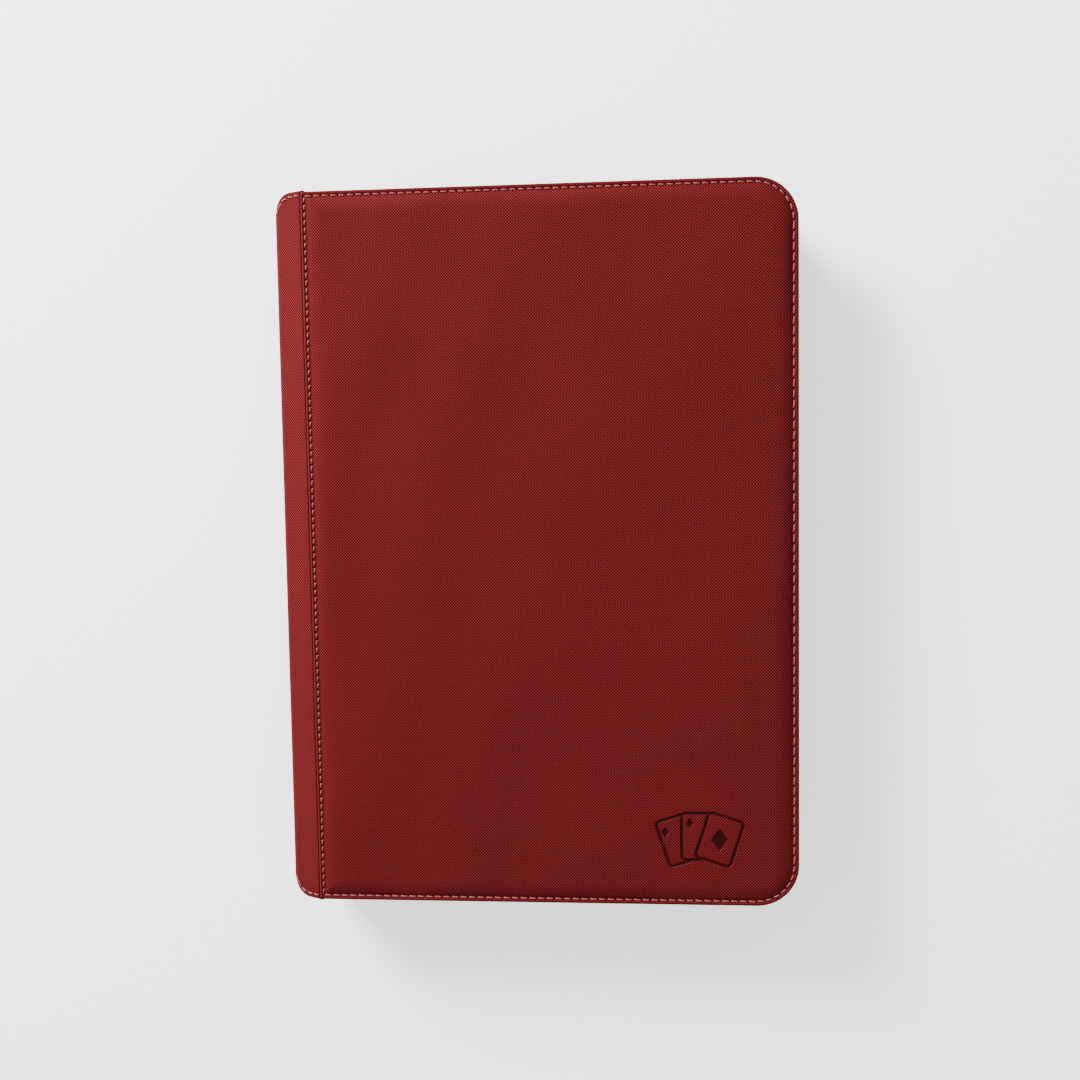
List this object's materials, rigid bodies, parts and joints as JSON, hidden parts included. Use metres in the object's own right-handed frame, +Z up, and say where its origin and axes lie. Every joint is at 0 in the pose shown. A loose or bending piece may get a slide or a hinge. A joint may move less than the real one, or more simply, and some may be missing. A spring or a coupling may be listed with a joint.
{
  "type": "zip card binder",
  "caption": "Zip-round fabric card binder with a folding spine, padded covers and side-loading pocket pages that open flat.",
  "frame": {"origin": "middle of the closed binder's footprint, on the surface that it lies on", "axes": "+X from the spine to the fore-edge, +Y towards the head, +Z up through the front cover"},
  "size_m": [0.2452, 0.34, 0.046],
  "materials": {
    "cover_fabric": "woven polyester, plain weave, matt",
    "foam": "open-cell foam sheet",
    "greyboard": "pressed greyboard",
    "lining": "fine black lining cloth",
    "thread": "twisted polyester thread",
    "zip_tape": "woven zip tape",
    "zip_teeth": "nylon coil",
    "zip_metal": "gunmetal plated zinc",
    "spacer_felt": "pressed felt strip",
    "page_sheet": "black polypropylene sheet under clear film"
  },
  "bodies": {
    "back_cover": {"back_fabric": "cover_fabric", "back_foam": "foam", "back_board": "greyboard", "back_lining": "lining", "back_hem_stitching": "thread", "back_seam_stitching": "thread", "zip_tape_back": "zip_tape", "zip_teeth_back": "zip_teeth", "zip_stops_back": "zip_metal"},
    "back_strip": {"back_strip_fabric": "cover_fabric", "back_strip_board": "greyboard", "back_strip_lining": "lining"},
    "spine": {"spine_fabric": "cover_fabric", "spine_board": "greyboard", "spine_lining": "lining", "binding_spacers": "spacer_felt", "binding_margins": "page_sheet", "binding_posts": "zip_metal", "zip_end_tab_tail": "cover_fabric", "zip_end_tab_head": "cover_fabric"},
    "front_strip": {"front_strip_fabric": "cover_fabric", "front_strip_board": "greyboard", "front_strip_lining": "lining"},
    "front_cover": {"front_fabric": "cover_fabric", "front_foam": "foam", "front_board": "greyboard", "front_lining": "lining", "front_hem_stitching": "thread", "front_seam_stitching": "thread", "zip_tape_front": "zip_tape", "zip_teeth_front": "zip_teeth", "zip_stops_front": "zip_metal"},
    "slider": {"zip_slider": "zip_metal"},
    "puller": {"zip_puller": "zip_metal"},
    "leaf_01": {"page_01": "page_sheet"},
    "leaf_02": {"page_02": "page_sheet"},
    "leaf_03": {"page_03": "page_sheet"},
    "leaf_04": {"page_04": "page_sheet"},
    "leaf_05": {"page_05": "page_sheet"},
    "leaf_06": {"page_06": "page_sheet"},
    "leaf_07": {"page_07": "page_sheet"},
    "leaf_08": {"page_08": "page_sheet"},
    "leaf_09": {"page_09": "page_sheet"},
    "leaf_10": {"page_10": "page_sheet"},
    "leaf_11": {"page_11": "page_sheet"},
    "leaf_12": {"page_12": "page_sheet"},
    "leaf_13": {"page_13": "page_sheet"},
    "leaf_14": {"page_14": "page_sheet"},
    "leaf_15": {"page_15": "page_sheet"},
    "leaf_16": {"page_16": "page_sheet"},
    "leaf_17": {"page_17": "page_sheet"},
    "leaf_18": {"page_18": "page_sheet"},
    "leaf_19": {"page_19": "page_sheet"},
    "leaf_20": {"page_20": "page_sheet"}
  },
  "joints": [
    {"name": "back_seam_fold", "type": "hinge", "parent": "back_cover", "child": "back_strip", "pos_m": [-0.10742, 0, 0.0028], "axis": [0, -1, 0], "range_deg": [0, 30]},
    {"name": "back_spine_fold", "type": "hinge", "parent": "back_strip", "child": "spine", "pos_m": [-0.12258, 0, 0.01155], "axis": [0, -1, 0], "range_deg": [0, 60]},
    {"name": "front_spine_fold", "type": "hinge", "parent": "spine", "child": "front_strip", "pos_m": [-0.12258, 0, 0.03445], "axis": [0, -1, 0], "range_deg": [0, 60]},
    {"name": "front_seam_fold", "type": "hinge", "parent": "front_strip", "child": "front_cover", "pos_m": [-0.10742, 0, 0.0432], "axis": [0, -1, 0], "range_deg": [0, 30]},
    {"name": "leaf_01_turn", "type": "hinge", "parent": "spine", "child": "leaf_01", "pos_m": [-0.11308, 0, 0.01401], "axis": [0, -1, 0], "range_deg": [-91.5, 0]},
    {"name": "leaf_02_turn", "type": "hinge", "parent": "spine", "child": "leaf_02", "pos_m": [-0.11213, 0, 0.01495], "axis": [0, -1, 0], "range_deg": [-91.44, 0]},
    {"name": "leaf_03_turn", "type": "hinge", "parent": "spine", "child": "leaf_03", "pos_m": [-0.11118, 0, 0.0159], "axis": [0, -1, 0], "range_deg": [-91.38, 0]},
    {"name": "leaf_04_turn", "type": "hinge", "parent": "spine", "child": "leaf_04", "pos_m": [-0.11023, 0, 0.01684], "axis": [0, -1, 0], "range_deg": [-91.32, 0]},
    {"name": "leaf_05_turn", "type": "hinge", "parent": "spine", "child": "leaf_05", "pos_m": [-0.10928, 0, 0.01779], "axis": [0, -1, 0], "range_deg": [-91.26, 0]},
    {"name": "leaf_06_turn", "type": "hinge", "parent": "spine", "child": "leaf_06", "pos_m": [-0.10833, 0, 0.01874], "axis": [0, -1, 0], "range_deg": [-91.2, 0]},
    {"name": "leaf_07_turn", "type": "hinge", "parent": "spine", "child": "leaf_07", "pos_m": [-0.10738, 0, 0.01969], "axis": [0, -1, 0], "range_deg": [-91.14, 0]},
    {"name": "leaf_08_turn", "type": "hinge", "parent": "spine", "child": "leaf_08", "pos_m": [-0.10643, 0, 0.02063], "axis": [0, -1, 0], "range_deg": [-91.08, 0]},
    {"name": "leaf_09_turn", "type": "hinge", "parent": "spine", "child": "leaf_09", "pos_m": [-0.10548, 0, 0.02158], "axis": [0, -1, 0], "range_deg": [-91.02, 0]},
    {"name": "leaf_10_turn", "type": "hinge", "parent": "spine", "child": "leaf_10", "pos_m": [-0.10453, 0, 0.02253], "axis": [0, -1, 0], "range_deg": [-90.96, 0]},
    {"name": "leaf_11_turn", "type": "hinge", "parent": "spine", "child": "leaf_11", "pos_m": [-0.10453, 0, 0.02347], "axis": [0, -1, 0], "range_deg": [0, 90.96]},
    {"name": "leaf_12_turn", "type": "hinge", "parent": "spine", "child": "leaf_12", "pos_m": [-0.10548, 0, 0.02442], "axis": [0, -1, 0], "range_deg": [0, 91.02]},
    {"name": "leaf_13_turn", "type": "hinge", "parent": "spine", "child": "leaf_13", "pos_m": [-0.10643, 0, 0.02537], "axis": [0, -1, 0], "range_deg": [0, 91.08]},
    {"name": "leaf_14_turn", "type": "hinge", "parent": "spine", "child": "leaf_14", "pos_m": [-0.10738, 0, 0.02631], "axis": [0, -1, 0], "range_deg": [0, 91.14]},
    {"name": "leaf_15_turn", "type": "hinge", "parent": "spine", "child": "leaf_15", "pos_m": [-0.10833, 0, 0.02726], "axis": [0, -1, 0], "range_deg": [0, 91.2]},
    {"name": "leaf_16_turn", "type": "hinge", "parent": "spine", "child": "leaf_16", "pos_m": [-0.10928, 0, 0.02821], "axis": [0, -1, 0], "range_deg": [0, 91.26]},
    {"name": "leaf_17_turn", "type": "hinge", "parent": "spine", "child": "leaf_17", "pos_m": [-0.11023, 0, 0.02916], "axis": [0, -1, 0], "range_deg": [0, 91.32]},
    {"name": "leaf_18_turn", "type": "hinge", "parent": "spine", "child": "leaf_18", "pos_m": [-0.11118, 0, 0.0301], "axis": [0, -1, 0], "range_deg": [0, 91.38]},
    {"name": "leaf_19_turn", "type": "hinge", "parent": "spine", "child": "leaf_19", "pos_m": [-0.11213, 0, 0.03105], "axis": [0, -1, 0], "range_deg": [0, 91.44]},
    {"name": "leaf_20_turn", "type": "hinge", "parent": "spine", "child": "leaf_20", "pos_m": [-0.11308, 0, 0.032], "axis": [0, -1, 0], "range_deg": [0, 91.5]},
    {"name": "slider_run", "type": "slide", "parent": "back_cover", "child": "slider", "axis": [1, 0, 0], "range_m": [0, 0.19]},
    {"name": "puller_swing", "type": "hinge", "parent": "slider", "child": "puller", "pos_m": [-0.09672, -0.1678, 0.023], "axis": [0, 0, -1], "range_deg": [0, 170]}
  ],
  "couplings": [
    {"joint": "back_spine_fold", "follows": "back_seam_fold", "ratio": 2},
    {"joint": "front_spine_fold", "follows": "back_seam_fold", "ratio": 2},
    {"joint": "front_seam_fold", "follows": "back_seam_fold", "ratio": 1},
    {"joint": "leaf_01_turn", "follows": "back_seam_fold", "ratio": -3.05},
    {"joint": "leaf_02_turn", "follows": "back_seam_fold", "ratio": -3.048},
    {"joint": "leaf_03_turn", "follows": "back_seam_fold", "ratio": -3.046},
    {"joint": "leaf_04_turn", "follows": "back_seam_fold", "ratio": -3.044},
    {"joint": "leaf_05_turn", "follows": "back_seam_fold", "ratio": -3.042},
    {"joint": "leaf_06_turn", "follows": "back_seam_fold", "ratio": -3.04},
    {"joint": "leaf_07_turn", "follows": "back_seam_fold", "ratio": -3.038},
    {"joint": "leaf_08_turn", "follows": "back_seam_fold", "ratio": -3.036},
    {"joint": "leaf_09_turn", "follows": "back_seam_fold", "ratio": -3.034},
    {"joint": "leaf_10_turn", "follows": "back_seam_fold", "ratio": -3.032},
    {"joint": "leaf_11_turn", "follows": "back_seam_fold", "ratio": 3.032},
    {"joint": "leaf_12_turn", "follows": "back_seam_fold", "ratio": 3.034},
    {"joint": "leaf_13_turn", "follows": "back_seam_fold", "ratio": 3.036},
    {"joint": "leaf_14_turn", "follows": "back_seam_fold", "ratio": 3.038},
    {"joint": "leaf_15_turn", "follows": "back_seam_fold", "ratio": 3.04},
    {"joint": "leaf_16_turn", "follows": "back_seam_fold", "ratio": 3.042},
    {"joint": "leaf_17_turn", "follows": "back_seam_fold", "ratio": 3.044},
    {"joint": "leaf_18_turn", "follows": "back_seam_fold", "ratio": 3.046},
    {"joint": "leaf_19_turn", "follows": "back_seam_fold", "ratio": 3.048},
    {"joint": "leaf_20_turn", "follows": "back_seam_fold", "ratio": 3.05}
  ]
}
